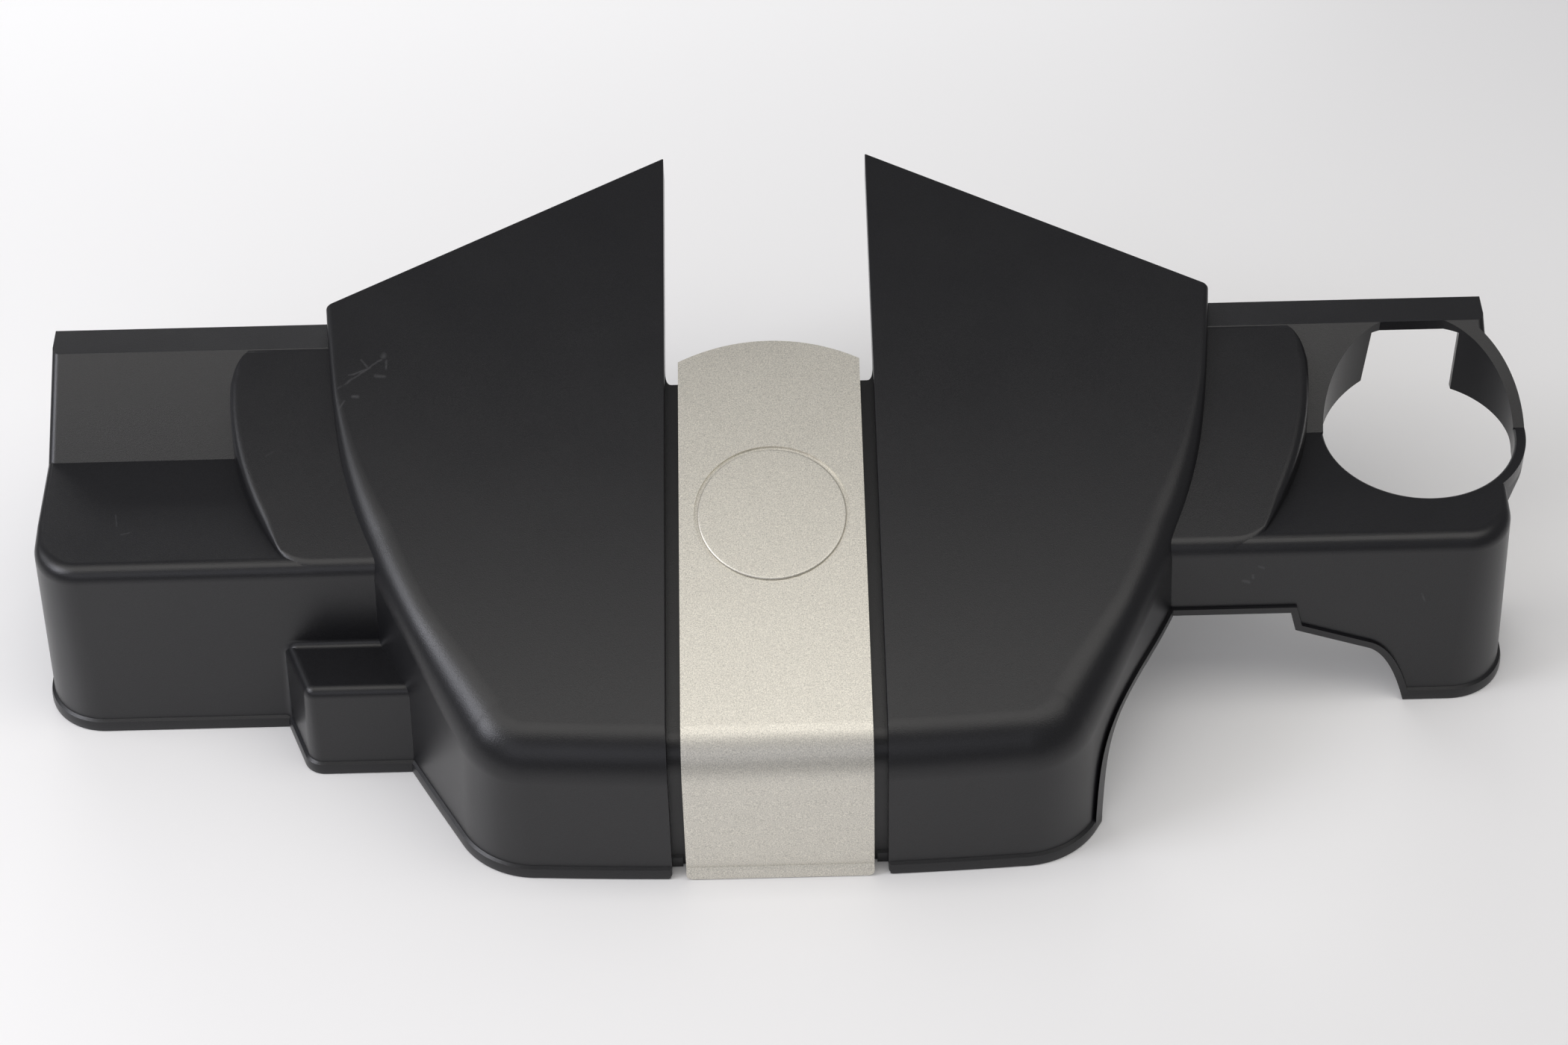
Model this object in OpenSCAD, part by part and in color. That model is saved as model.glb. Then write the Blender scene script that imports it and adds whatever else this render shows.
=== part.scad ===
// Top cover for a vee engine: one black moulding with two wings, a sunk channel between
// them and two side arms, and a silver panel that is pinned into the channel.
// X is across the engine, Y runs to its rear and Z is up. The origin is on the centre
// line, at the foot of the front face, and the lower rim lies in the plane z = 0.

/* [Moulding] */
// Thickness of the black moulding
wall_t = 2.5; // [2:0.1:3.5]
// Draft of all side walls, in degrees
draft = 3.4; // [2:0.1:4.5]
// Height of the bead along the lower rim
rim_h = 8; // [6:0.5:10]
// How far the bead stands out from the wall
rim_out = 1.6; // [1:0.1:2.2]

/* [Wings] */
// Height of the top faces above the rim, continued to the front face
top_h = 74.1; // [68:0.5:80]
// Rise of the top faces towards the rear, in degrees
top_pitch = 16; // [14:0.5:18]
// Clear width between the two wings
gap_w = 99; // [94:1:104]
// Rear end of the inner edges
peak_y = 319; // [300:1:330]
// Rear end of the outer edges
shoulder_y = 240.5; // [236:0.5:246]
// Half width at the rear end of the outer edges, at the rim plane
shoulder_x = 220; // [214:1:226]
// Half width where the straight flank ends
flank_x = 153; // [148:1:158]
// Where the straight flank ends, along Y
flank_y = 36.8; // [32:0.4:42]
// Lean of the flank from the Y axis, in degrees
flank_lean = 30; // [26:1:33]
// Radius of the front corners in plan
corner_r = 40; // [34:1:46]
// How far the front face is set back at the corners
front_bow = 3.3; // [1:0.1:5]
// Radius of the bend between the top and the front face
bend_r = 25; // [20:1:28]
// Radius of the outer top edge beside the flank
flank_r = 17; // [12:1:20]
// Radius of the outer top edge at the shoulder
tail_r = 3; // [2:0.5:5]
// Depth of the lip along the free rear edges
lip_h = 14; // [12:0.5:18]

/* [Channel and panel] */
// Depth of the channel below the top faces
channel_d = 8; // [7:0.5:10]
// Rear end of the channel
channel_y = 200; // [190:1:204]
// Gap between the silver panel and each side of the channel
panel_side = 6.5; // [4:0.25:9]
// Thickness of the silver panel
panel_t = 2.5; // [2:0.1:3]
// Rear corners of the panel, along Y
panel_y = 205; // [200:1:210]
// How far the rear edge of the panel arches out
panel_arch = 10.5; // [8:0.5:14]
// Gap between the rim of the panel and the floor of the channel
panel_gap = 0.5; // [0.3:0.1:1]
// Radius of the plain badge disc
badge_r = 34.6; // [30:0.2:36]
// Thickness of the plain badge disc
badge_t = 1.2; // [0.8:0.1:1.5]
// Width of the groove round the badge disc
badge_gap = 1.5; // [0.8:0.1:2]
// Centre of the badge disc, along Y
badge_y = 124.6; // [115:1:135]
// Radius of the pins under the panel
pin_r = 2.5; // [2:0.1:3]
// Distance of the pins from the centre line
pin_x = 30; // [26:1:34]

/* [Side arms] */
// Half width over the arms, at the rim plane
arm_x = 348.8; // [335:0.1:360]
// Front face of the arms, at the rim plane
arm_y = 100.8; // [94:0.2:106]
// Radius of the front outer corners in plan
arm_corner_r = 25; // [18:1:28]
// How far the end walls lean out towards the rear, in degrees
arm_flare = 1.2; // [0:0.1:2]
// Radius of the top front edge
arm_edge_r = 8; // [5:0.5:9]
// Height of the flat floor
floor_z = 99.3; // [94:0.5:104]
// Crease where the floor turns up, along Y
crease_y = 181.5; // [176:0.5:186]
// Front edge of the rear ledge, along Y
ledge_y = 223.5; // [218:0.5:228]
// Radius of the outer edge of the slope
slope_r = 4; // [2:0.5:6]
// Height of the rear ledge
ledge_z = 131.3; // [128:0.5:134]
// How far the hump beside the wing lies below the wing's top face
hump_drop = 6.65; // [5:0.25:8]
// Distance from the centre line to the hump's widest point
hump_x = 258; // [250:1:266]
// Radius of the hump's top edge
hump_r = 5; // [3:0.5:7]

/* [Filler hole] */
// Distance of the hole from the centre line
hole_x = 308.2; // [304:0.4:311]
// Centre of the hole, along Y
hole_y = 181; // [178:0.5:184]
// Radius of the hole
hole_r = 45.2; // [42:0.2:47]
// Rounding of the hole's top edge
hole_edge = 1.6; // [0.8:0.1:2]
// Thickness of the collar round the hole
collar_t = 3; // [2.5:0.1:3.5]
// How far the lip at the top of the collar stands out
collar_lip = 2.6; // [1:0.1:3]
// Lower edge of the collar
collar_z = 90; // [84:1:94]
// Width of the slot in the rear of the collar
notch_w = 41.6; // [34:0.2:46]
// How far the slot's middle lies outwards from the hole's centre
notch_shift = 1.6; // [-2:0.2:4]

/* [Side box] */
// Height of the small box in front of the left arm
box_h = 51.5; // [46:0.5:58]
// Front face of the box, at the rim plane
box_y = 70; // [64:1:76]
// Outer front corner of the box, from the centre line
box_x = 220; // [214:1:226]
// Radius of the edges of the box
box_r = 5; // [3:0.5:7]

/* [Cut-out in the right side] */
// Height of the cut under the right arm
cut_h = 57.8; // [50:0.2:64]
// Outer end of the high part of the cut
cut_step_x = 242; // [236:1:250]
// Inner edge of the foot of the right arm
cut_end_x = 299.5; // [292:0.5:306]

/* [Mounting bosses] */
// Distance of the front bosses from the centre line
boss_front_x = 98; // [90:1:106]
// Front bosses, along Y
boss_front_y = 66; // [60:1:72]
// Distance of the rear bosses from the centre line
boss_rear_x = 138; // [126:1:150]
// Rear bosses, along Y
boss_rear_y = 208; // [200:1:214]
// Height of the lower ends of the bosses
boss_z = 34; // [26:1:42]
// Outer radius of the bosses at the lower end
boss_r = 15; // [13.5:0.5:17]
// Radius of the bore in the rubber grommets
stud_r = 5; // [4:0.25:6]
// Height of the stiffening ribs
rib_h = 9; // [6:0.5:12]

/* [Hidden] */
$fn = 48;
black = "#26272b";
silver = "#bdbab1";
rubber = "#1b1b1c";
steel = "#9a9c9e";

draft_k = tan(draft);
pitch_k = tan(top_pitch);
// A face is [its height at y = 0, its rise per millimetre of y]
top_face = [top_h, pitch_k];
hump_face = [top_h - hump_drop, pitch_k];
floor_face = [floor_z, 0];
box_face = [box_h, 0];
beyond = 40;
eps = 0.03;

slope_k = (ledge_z - floor_z) / (ledge_y - crease_y);
slope_face = [floor_z - slope_k * crease_y, slope_k];
ledge_end = shoulder_y;
// Where the arms and the box end inside the wings, and the run-up to a sharp corner there
arm_in = 140;
lead = 20;
gap_x = gap_w / 2;
panel_w = gap_w - 2 * panel_side;
notch_x = hole_x + notch_shift;
collar_r = hole_r + collar_t;

// Points on a cubic curve, without its first point
function curve(a, b, c, d, n) =
    [for (i = [1:n]) let (t = i / n, s = 1 - t) s^3 * a + 3 * s^2 * t * b + 3 * s * t^2 * c + t^3 * d];
// Points on an arc from angle a0 to a1
function arc(c, r, a0, a1, n) = [for (i = [0:n]) let (a = a0 + (a1 - a0) * i / n) c + r * [cos(a), sin(a)]];
// Direction at an angle from the Y axis
function heading(a) = [sin(a), cos(a)];
function mirrored(p) = [for (i = [len(p) - 1:-1:0]) [-p[i][0], p[i][1]]];

// Outward direction at each point of a closed outline
function outward(p) = let (n = len(p))
    [for (i = [0:n - 1]) let (d = p[(i + 1) % n] - p[(i + n - 1) % n]) [d[1], -d[0]] / norm(d)];

// Section from the side wall over the rounded edge to the top face, as [inward, up] points.
// The wall starts at a, rises with the draft, and the top runs inward with slope m from height h.
function edge_section(a, h, m, r, steps = 5) =
    let (z = (h + m * a) / (1 - m * draft_k), v = [a + z * draft_k, z],
         down = -[draft_k, 1] / norm([draft_k, 1]), along = [1, m] / norm([1, m]),
         half = acos(down * along) / 2, q = r / tan(half),
         mid = v + (down + along) / norm(down + along) * r / sin(half),
         from = v + down * q - mid, to = v + along * q - mid, turn = 180 - 2 * half)
    [for (i = [0:steps]) let (t = i / steps)
        mid + (sin((1 - t) * turn) * from + sin(t * turn) * to) / sin(turn)];

// Drafted block with the plan outline p at height z_ref, a sloping top face and a rounded
// top edge. inset moves every face inwards, and r gives the edge radius at each point.
module moulded_block(p, face, r, inset = 0, z_ref = 0, z_low = 0, steps = 3) {
    n = len(p);
    out = outward(p);
    drop = inset * sqrt(1 + face[1]^2);
    start = inset - z_ref * draft_k;
    sections = [for (i = [0:n - 1])
        let (h = face[0] + face[1] * p[i][1] - drop)
        concat([[start + z_low * draft_k, z_low]],
            edge_section(start, h, -face[1] * out[i][1], max(r[i] - inset, 0.4), steps))];
    rings = steps + 2;
    points = [for (k = [0:rings - 1]) for (i = [0:n - 1])
        let (s = sections[i][k]) [p[i][0] - out[i][0] * s[0], p[i][1] - out[i][1] * s[0], s[1]]];
    sides = [for (k = [0:rings - 2]) for (i = [0:n - 1]) let (j = (i + 1) % n)
        each [[k * n + i, (k + 1) * n + i, (k + 1) * n + j], [k * n + i, (k + 1) * n + j, k * n + j]]];
    foot = [for (i = [0:n - 1]) i];
    cap = [for (i = [n - 1:-1:0]) (rings - 1) * n + i];
    polyhedron(points, concat([foot], sides, [cap]), convexity = 6);
}

// Plan outline of the two wings together, at the rim plane
function main_outline() =
    let (foot = [flank_x - (flank_y - front_bow) * tan(flank_lean), front_bow],
         q = corner_r * tan(45 - flank_lean / 2), start = foot - [q, 0],
         bow = [for (i = [0:3]) let (x = start[0] * i / 4) [x, front_bow * (x / start[0])^2]],
         corner = arc(start + [0, corner_r], corner_r, -90, -flank_lean, 9),
         flank = [flank_x, flank_y], end = [shoulder_x, shoulder_y], turn = 0.44 * (shoulder_y - flank_y),
         side = curve(flank, flank + turn * heading(flank_lean), end - 1.15 * turn * heading(6), end, 16),
         half = concat(bow, corner, [flank], side, [[shoulder_x + 2, peak_y + beyond]]))
    concat(half, [for (q = mirrored(half)) if (q[0] != 0) q]);

function main_radii(p) = [for (q = p) lookup(q[1], [
    [flank_y * 0.7, bend_r], [shoulder_y * 0.3, flank_r], [shoulder_y * 0.48, flank_r],
    [shoulder_y * 0.65, flank_r * 0.55], [shoulder_y * 0.8, tail_r + 1], [shoulder_y, tail_r]])];

// Side view of the wings' section on the centre line, as [y, z] points
function front_section(inset, z_low) =
    let (s = edge_section(inset, top_h - inset / cos(top_pitch), pitch_k, max(bend_r - inset, 1)),
         end = peak_y + beyond)
    concat([[inset + z_low * draft_k, z_low]], s,
        [[end, top_h - inset / cos(top_pitch) + pitch_k * end], [end, z_low]]);

// Solid between x = -half and half with a given [y, z] section
module across(section, half) {
    translate([-half, 0, 0]) rotate([90, 0, 90]) linear_extrude(2 * half) polygon(section);
}

// Everything above a sloping face
module above(face, depth = 0) {
    far = 2 * arm_x;
    across([[-far, face[0] - face[1] * far - depth], [far, face[0] + face[1] * far - depth],
        [far, far], [-far, far]], far);
}

// Plan of the wings between their free edges, with the gap at the rear left out
module wing_plan() {
    rear_k = (peak_y - shoulder_y) / (shoulder_edge() - gap_x);
    wide = shoulder_x + beyond;
    low = peak_y - rear_k * (wide - gap_x);
    polygon([[-wide, -beyond], [wide, -beyond], [wide, low], [gap_x, peak_y], [gap_x, channel_y],
        [-gap_x, channel_y], [-gap_x, peak_y], [-wide, low]]);
}
// Half width of the wings at the shoulder, measured on the top face
function shoulder_edge() = shoulder_x - draft_k * (top_h + pitch_k * shoulder_y);

module wing_trim(inset) {
    translate([0, 0, -beyond]) linear_extrude(2 * peak_y) offset(delta = -inset) wing_plan();
}

// The wings and the sunk channel between them, before the free edges are cut
module main_block(inset, z_low) {
    p = main_outline();
    half = gap_x + inset;
    difference() {
        moulded_block(p, top_face, main_radii(p), inset, 0, z_low, steps = 5);
        across(front_section(-beyond, z_low - 1), half);
    }
    across(front_section(channel_d + inset, z_low), half + eps);
}

module main_outer(inset = 0) {
    intersection() {
        main_block(inset, 0);
        wing_trim(inset);
    }
}

// The hollow stops short of the free edges just under the top, which leaves a lip there
module main_hollow() {
    difference() {
        main_block(wall_t, -1);
        difference() {
            above(top_face, lip_h);
            wing_trim(wall_t);
        }
    }
}

function arm_outline() =
    let (c = [arm_x - arm_corner_r, arm_y + arm_corner_r], out = heading(arm_flare), turn = c + [arm_corner_r, 0],
         far = turn + out * (ledge_end + beyond - turn[1]))
    concat([[arm_in, arm_y], [arm_in + lead, arm_y]], arc(c, arm_corner_r, -90, -arm_flare, 8),
        [turn + out * 12, turn + out * 38, far - lead * out, far, [arm_in, far[1]]]);

function arm_radii(p) = [for (q = p)
    lookup(q[1], [[arm_y + arm_corner_r, arm_edge_r], [crease_y - 16, slope_r]])];

// Outline of the hump beside the wing, at the height of the floor
function hump_outline() =
    let (foot = [hump_x - 36, arm_y + floor_z * draft_k + eps], wide = [hump_x, ledge_y - 17], end = [hump_x - 10, ledge_y + 2.5],
         side = curve(foot, foot + 42 * heading(33), wide - 34 * heading(2), wide, 12),
         corner = curve(wide, wide + 10 * heading(-2), end - 7 * heading(-52), end, 6))
    concat([[arm_in, foot[1]], [arm_in + lead, foot[1]], foot], side, corner,
        [[hump_x - 20, ledge_end + 8], [hump_x - 20, ledge_end + 8 + lead], [arm_in, ledge_end + 8 + lead]]);

// The front edge is as round as the arm's, and the side as round as its height allows
function hump_radii(p) = [for (q = p)
    let (rise = hump_face[0] + hump_face[1] * q[1] - max(floor_z, floor_z + slope_k * (q[1] - crease_y)))
    q[1] == p[0][1] ? arm_edge_r : max(0.6, min(hump_r, rise * 0.8))];

module arm_block(inset, z_low) {
    p = arm_outline();
    low = z_low - 1;
    rear = ledge_end + (inset > 0 ? 1 : 0);
    intersection() {
        moulded_block(p, floor_face, arm_radii(p), inset, 0, z_low);
        translate([0, 0, low]) cube([2 * arm_x, rear, ledge_z]);
    }
    intersection() {
        moulded_block(p, slope_face, [for (q = p) slope_r], inset, 0, z_low);
        translate([0, crease_y - 12, floor_z / 2])
            cube([2 * arm_x, rear - crease_y + 12, ledge_z - inset - floor_z / 2]);
    }
    hump = hump_outline();
    intersection() {
        moulded_block(hump, hump_face, hump_radii(hump), inset, floor_z, z_low);
        translate([0, 0, low]) cube([2 * arm_x, ledge_y + 6, ledge_z - inset - 0.3 - low]);
    }
}

function box_outline() =
    let (lean = 22, turn = 90 - lean, r = box_r + 2, corner = [box_x, box_y],
         c = corner + [-r * tan(turn / 2), r], back = corner + heading(lean) * (arm_y + lead - box_y))
    concat([[arm_in, box_y], [arm_in + lead, box_y]], arc(c, r, -90, -lean, 5),
        [back - 0.8 * lead * heading(lean), back, [arm_in, back[1]]]);

module box_block(inset, z_low) {
    p = box_outline();
    moulded_block(p, box_face, [for (q = p) box_r], inset, 0, z_low);
}

module cover_outer(inset = 0) {
    main_outer(inset);
    for (side = [0, 1]) mirror([side, 0, 0]) arm_block(inset, 0);
    mirror([1, 0, 0]) box_block(inset, 0);
}

module cover_hollow() {
    main_hollow();
    for (side = [0, 1]) mirror([side, 0, 0]) arm_block(wall_t, -1);
    mirror([1, 0, 0]) box_block(wall_t, -1);
}

// Round block at the filler hole that reaches up to the faces of the arm
module hole_block(r, z_low) {
    difference() {
        translate([hole_x, hole_y, z_low]) cylinder(r = r, h = ledge_z - z_low, $fn = 72);
        intersection() {
            above(floor_face, eps);
            above(slope_face, eps);
        }
    }
}

// Collar round the filler hole, with a lip at its top
module collar() {
    hole_block(collar_r, collar_z);
    difference() {
        hole_block(collar_r + collar_lip, collar_z);
        translate([0, 0, -2 * wall_t]) hole_block(collar_r + 2 * collar_lip, collar_z - beyond);
    }
}

module filler_hole() {
    under_ledge = ledge_z - wall_t - 0.5;
    translate([hole_x, hole_y, -1]) cylinder(r = hole_r, h = under_ledge + 1 + eps, $fn = 72);
    intersection() {
        translate([hole_x, hole_y, -1]) cylinder(r = hole_r, h = ledge_z + 2, $fn = 72);
        translate([0, 0, -1]) cube([2 * arm_x, ledge_y, ledge_z + 2]);
    }
    difference() {
        translate([hole_x, hole_y, floor_z - hole_edge])
            cylinder(r1 = hole_r, r2 = hole_r + hole_edge * 2, h = hole_edge * 2, $fn = 72);
        translate([0, crease_y, 0]) cube([2 * arm_x, ledge_end, ledge_z]);
    }
    from_front() polygon([
        [notch_x - notch_w / 2, under_ledge], [notch_x - notch_w / 2 - 2.4, floor_z - 3],
        [hole_x - hole_r + 2, collar_z], [hole_x - hole_r + 2, 0], [notch_x + notch_w / 2, 0],
        [notch_x + notch_w / 2, under_ledge]]);
}

// Prism behind the middle of the hole, from its front view
module from_front() {
    translate([0, ledge_end + 1, 0]) rotate([90, 0, 0]) linear_extrude(ledge_end + 1 - hole_y) children();
}

// Front view of the cut under the right arm, as [x, z] points
function cut_outline() =
    let (low = -beyond, wing = [flank_x - 3.6, 0], top = [flank_x + 17, cut_h],
         arch = [cut_end_x - 19, cut_h * 0.59], foot = [cut_end_x, 0])
    concat([[wing[0] - 1, low], wing], curve(wing, wing + [0.8, 42], wing + [1, cut_h - 1.5], top, 10),
        [[cut_step_x - 0.5, cut_h], [cut_step_x + 2.5, cut_h - 11]],
        [arch], curve(arch, arch + [9, -4], foot + [-4, 14], foot, 8), [[cut_end_x + 1, low]]);

module front_cut(grow = 0) {
    translate([0, arm_y + beyond, 0]) rotate([90, 0, 0]) linear_extrude(arm_y + 2 * beyond)
        offset(delta = grow) polygon(cut_outline());
}

// Opening in the right end wall, behind the foot and under the collar
module end_cut() {
    low = arm_y + 2.2 * arm_corner_r;
    p = concat([[low, -1]], curve([low, collar_z / 2], [low, collar_z * 0.85],
        [low + 12, collar_z], [low + 26, collar_z], 8), [[ledge_end + 1, collar_z], [ledge_end + 1, -1]]);
    translate([arm_x - 14, 0, 0]) rotate([90, 0, 90]) linear_extrude(beyond) polygon(p);
}

// Bead along the lower rim, and round the cut under the right arm
module rim_bead() {
    intersection() {
        cover_outer(-rim_out);
        union() {
            translate([-arm_x - 5, -beyond, 0]) cube([2 * arm_x + 10, ledge_end + beyond, rim_h]);
            front_cut(rim_h);
            translate([-arm_x - 5, ledge_end - rim_h, 0]) cube([arm_x, rim_h, ledge_z - 3 * wall_t]);
        }
        difference() {
            translate([-2 * arm_x, -beyond, -beyond]) cube([4 * arm_x, 2 * peak_y, 2 * peak_y]);
            translate([rim_out - gap_x - eps, -beyond - 1, -beyond - 1])
                cube([2 * (gap_x - rim_out + eps), beyond + channel_y, beyond + rim_h + 2]);
        }
    }
}

boss_places = [
    [-boss_front_x, boss_front_y], [boss_front_x, boss_front_y],
    [-boss_rear_x, boss_rear_y], [boss_rear_x, boss_rear_y]
];
seat_t = 3;
neck_r = boss_r * 0.52;
flange_r = boss_r * 0.8;
core_r = boss_r - wall_t;
boss_taper = 3;
pin_places = [for (y = [0.24, 0.55, 0.91]) for (s = [-1, 1]) [s * pin_x, y * channel_y]];

// One hollow post for a grommet, with four gussets that run up to the top
module boss(place) {
    h = top_h + pitch_k * place[1] + 5 - boss_z;
    translate([place[0], place[1], boss_z]) {
        cylinder(r1 = boss_r, r2 = boss_r + boss_taper, h = h, $fn = 32);
        for (a = [45:90:315]) rotate([0, 0, a]) hull() {
            translate([boss_r - 1, -0.9, h * 0.35]) cube([1, 1.8, h * 0.65]);
            translate([boss_r + 14, -0.9, h - 26]) cube([1, 1.8, 26]);
        }
    }
}

module boss_hollow(place) {
    h = top_h + pitch_k * place[1] - wall_t * 2 - boss_z - seat_t;
    translate([place[0], place[1], boss_z - 1]) cylinder(r = neck_r + 0.3, h = seat_t + 2, $fn = 32);
    translate([place[0], place[1], boss_z + seat_t])
        cylinder(r1 = core_r, r2 = core_r + boss_taper * 0.6, h = h - pitch_k * (boss_r + boss_taper), $fn = 32);
}

// Thin ribs under the top faces
module ribs() {
    rib_t = 1.8;
    intersection() {
        union() {
            for (s = [-1, 1]) {
                for (x = [76, 118, 160]) translate([s * x - rib_t / 2, 0, 0]) cube([rib_t, peak_y, 2 * top_h]);
                for (y = [44, 104, 150, 232])
                    translate([s > 0 ? gap_x : -shoulder_x, y - rib_t / 2, 0])
                        cube([shoulder_x - gap_x, rib_t, 2 * top_h]);
            }
        }
        above(top_face, wall_t + rib_h);
    }
}

module cover_shell() {
    color(black) {
        difference() {
            union() {
                difference() {
                    union() {
                        cover_outer();
                        rim_bead();
                        collar();
                    }
                    difference() {
                        cover_hollow();
                        collar();
                    }
                }
                intersection() {
                    main_outer(wall_t / 2);
                    union() {
                        ribs();
                        for (place = boss_places) boss(place);
                    }
                }
            }
            for (place = boss_places) boss_hollow(place);
            filler_hole();
            front_cut();
            end_cut();
            for (place = pin_places) on_top(place) translate([0, 0, -channel_d - 2 * wall_t])
                cylinder(r = pin_r + 0.4, h = 3 * wall_t, $fn = 24);
        }
    }
}

// Places a child on the top face, square to it
module on_top(place) {
    translate([place[0], place[1], top_h + pitch_k * place[1]]) rotate([top_pitch, 0, 0]) children();
}

// Plan of the panel, with its arched rear edge
module panel_plan(inset) {
    half = panel_w / 2 - inset;
    sweep_r = ((panel_w / 2)^2 + panel_arch^2) / (2 * panel_arch);
    r = sweep_r - inset;
    spread = asin(half / r);
    rear = arc([0, panel_y + panel_arch - sweep_r], r, 90 - spread, 90 + spread, 24);
    translate([0, 0, -beyond]) linear_extrude(3 * top_h)
        polygon(concat([[half, -beyond]], rear, [[-half, -beyond]]));
}

// Silver panel: a sheet that follows the wings' section, with a rim turned down all round
module centre_panel() {
    seat_d = channel_d - 0.1;
    color(silver) {
        difference() {
            union() {
                intersection() {
                    across(front_section(0, 0), panel_w / 2);
                    panel_plan(0);
                }
                intersection() {
                    across(front_section(-rim_out, 0), panel_w / 2);
                    translate([-panel_w, -beyond, 0]) cube([2 * panel_w, 2 * beyond, rim_h]);
                }
            }
            intersection() {
                across(front_section(panel_t, -1), panel_w);
                panel_plan(panel_t);
            }
            across(front_section(channel_d - panel_gap, -1), panel_w);
            on_top([0, badge_y]) translate([0, 0, -badge_t])
                cylinder(r = badge_r + badge_gap, h = 3, $fn = 96);
        }
        for (place = pin_places) on_top(place) {
            translate([0, 0, -seat_d]) cylinder(r = 2 * pin_r, h = seat_d - panel_t + 0.2);
            translate([0, 0, -channel_d - wall_t - 5]) cylinder(r = pin_r, h = 6 + wall_t);
        }
    }
}

// Plain round disc in the recess of the panel
module badge_disc() {
    color(silver) on_top([0, badge_y]) translate([0, 0, -badge_t]) {
        cylinder(r = badge_r, h = badge_t - 0.3, $fn = 96);
        translate([0, 0, badge_t - 0.3]) cylinder(r1 = badge_r, r2 = badge_r - 0.6, h = 0.6, $fn = 96);
    }
}

// Spring washers pressed on the pins below the channel
module panel_push_nuts() {
    color(steel) for (place = pin_places) on_top(place)
        translate([0, 0, -channel_d - wall_t - 1.1]) difference() {
            cylinder(r = 3 * pin_r, h = 1);
            translate([0, 0, -1]) cylinder(r = pin_r + 0.05, h = 3);
        }
}

// Rubber grommet for a ball stud, snapped into the seat of a boss
module grommet(place) {
    low = 3;
    color(rubber) translate([place[0], place[1], boss_z]) rotate_extrude() polygon([
        [stud_r, -low], [flange_r, -low], [flange_r, -0.1], [neck_r, -0.1], [neck_r, seat_t + 0.1],
        [neck_r + 2, seat_t + 0.1], [neck_r + 0.5, seat_t + low], [stud_r, seat_t + low]]);
}

cover_shell();
centre_panel();
badge_disc();
panel_push_nuts();
grommet(boss_places[0]);  // grommet_front_left
grommet(boss_places[1]);  // grommet_front_right
grommet(boss_places[2]);  // grommet_rear_left
grommet(boss_places[3]);  // grommet_rear_right
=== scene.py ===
import math

import bpy
import numpy as np
from mathutils import Matrix, Vector


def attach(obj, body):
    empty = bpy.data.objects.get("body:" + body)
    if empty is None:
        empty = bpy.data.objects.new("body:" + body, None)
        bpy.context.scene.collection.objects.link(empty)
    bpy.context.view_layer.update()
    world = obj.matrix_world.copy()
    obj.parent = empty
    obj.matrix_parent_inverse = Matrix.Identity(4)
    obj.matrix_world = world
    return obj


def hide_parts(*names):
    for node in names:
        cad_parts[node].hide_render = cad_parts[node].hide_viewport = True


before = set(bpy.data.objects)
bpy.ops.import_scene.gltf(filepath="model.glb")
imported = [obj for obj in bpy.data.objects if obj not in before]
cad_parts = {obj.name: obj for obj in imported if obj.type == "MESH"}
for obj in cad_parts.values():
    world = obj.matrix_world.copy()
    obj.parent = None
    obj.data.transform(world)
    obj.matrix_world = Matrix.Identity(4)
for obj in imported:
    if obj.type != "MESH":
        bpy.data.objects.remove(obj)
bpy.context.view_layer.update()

# Camera, floor and light
# The cover lies on a pale, slightly glossy table in a light tent. The camera looks down on
# its front from 44 degrees above the table, with the small turn that the photograph has.
camera_tilt, camera_turn, camera_away = math.radians(44.4), math.radians(-1.4), 1.53853
aim_side, aim_up = 0.001, 0.104889
look = Vector((0, math.cos(camera_tilt), -math.sin(camera_tilt)))
level_up = Vector((0, math.sin(camera_tilt), math.cos(camera_tilt)))
side = Vector((1, 0, 0)) * math.cos(camera_turn) + level_up * math.sin(camera_turn)
upward = level_up * math.cos(camera_turn) - Vector((1, 0, 0)) * math.sin(camera_turn)
place = -camera_away * (look - aim_side * side - aim_up * upward)

lens = bpy.data.cameras.new("camera")
lens.sensor_width, lens.lens = 36, 77.14
lens.clip_start, lens.clip_end = 0.1, 30
camera = bpy.data.objects.new("camera", lens)
camera.matrix_world = Matrix.Translation(place) @ Matrix((side, upward, -look)).transposed().to_4x4()
bpy.context.scene.collection.objects.link(camera)
bpy.context.scene.camera = camera
bpy.context.scene.view_settings.view_transform = "Standard"


def put(name, mesh, *materials):
    """Object at the origin with this mesh and these materials, in the scene."""
    made = bpy.data.objects.new(name, mesh)
    for each in materials:
        mesh.materials.append(each)
    bpy.context.scene.collection.objects.link(made)
    return made


def new_material(name, base, rough, metal=0.0):
    """Material with one Principled shader. Returns it, its nodes, its links and the shader."""
    made = bpy.data.materials.new(name)
    made.use_nodes = True
    nodes, links = made.node_tree.nodes, made.node_tree.links
    shader = nodes["Principled BSDF"]
    shader.inputs["Base Color"].default_value = (*base, 1)
    shader.inputs["Roughness"].default_value = rough
    shader.inputs["Metallic"].default_value = metal
    return made, nodes, links, shader


table_paint, *_ = new_material("table_paint", (0.875, 0.87, 0.865), 0.32)
table_z = -0.0004
table_mesh = bpy.data.meshes.new("table")
table_mesh.from_pydata([(-8, -6, table_z), (8, -6, table_z), (8, 10, table_z), (-8, 10, table_z)], [],
                       [(0, 1, 2, 3)])
table = put("table", table_mesh, table_paint)

mirrored_level, shed_level = 0.20, 0.44
tent = bpy.data.worlds.new("tent")
tent.use_nodes = True
tent.node_tree.nodes["Background"].inputs["Color"].default_value = (0.985, 0.98, 1.0, 1)
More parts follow.
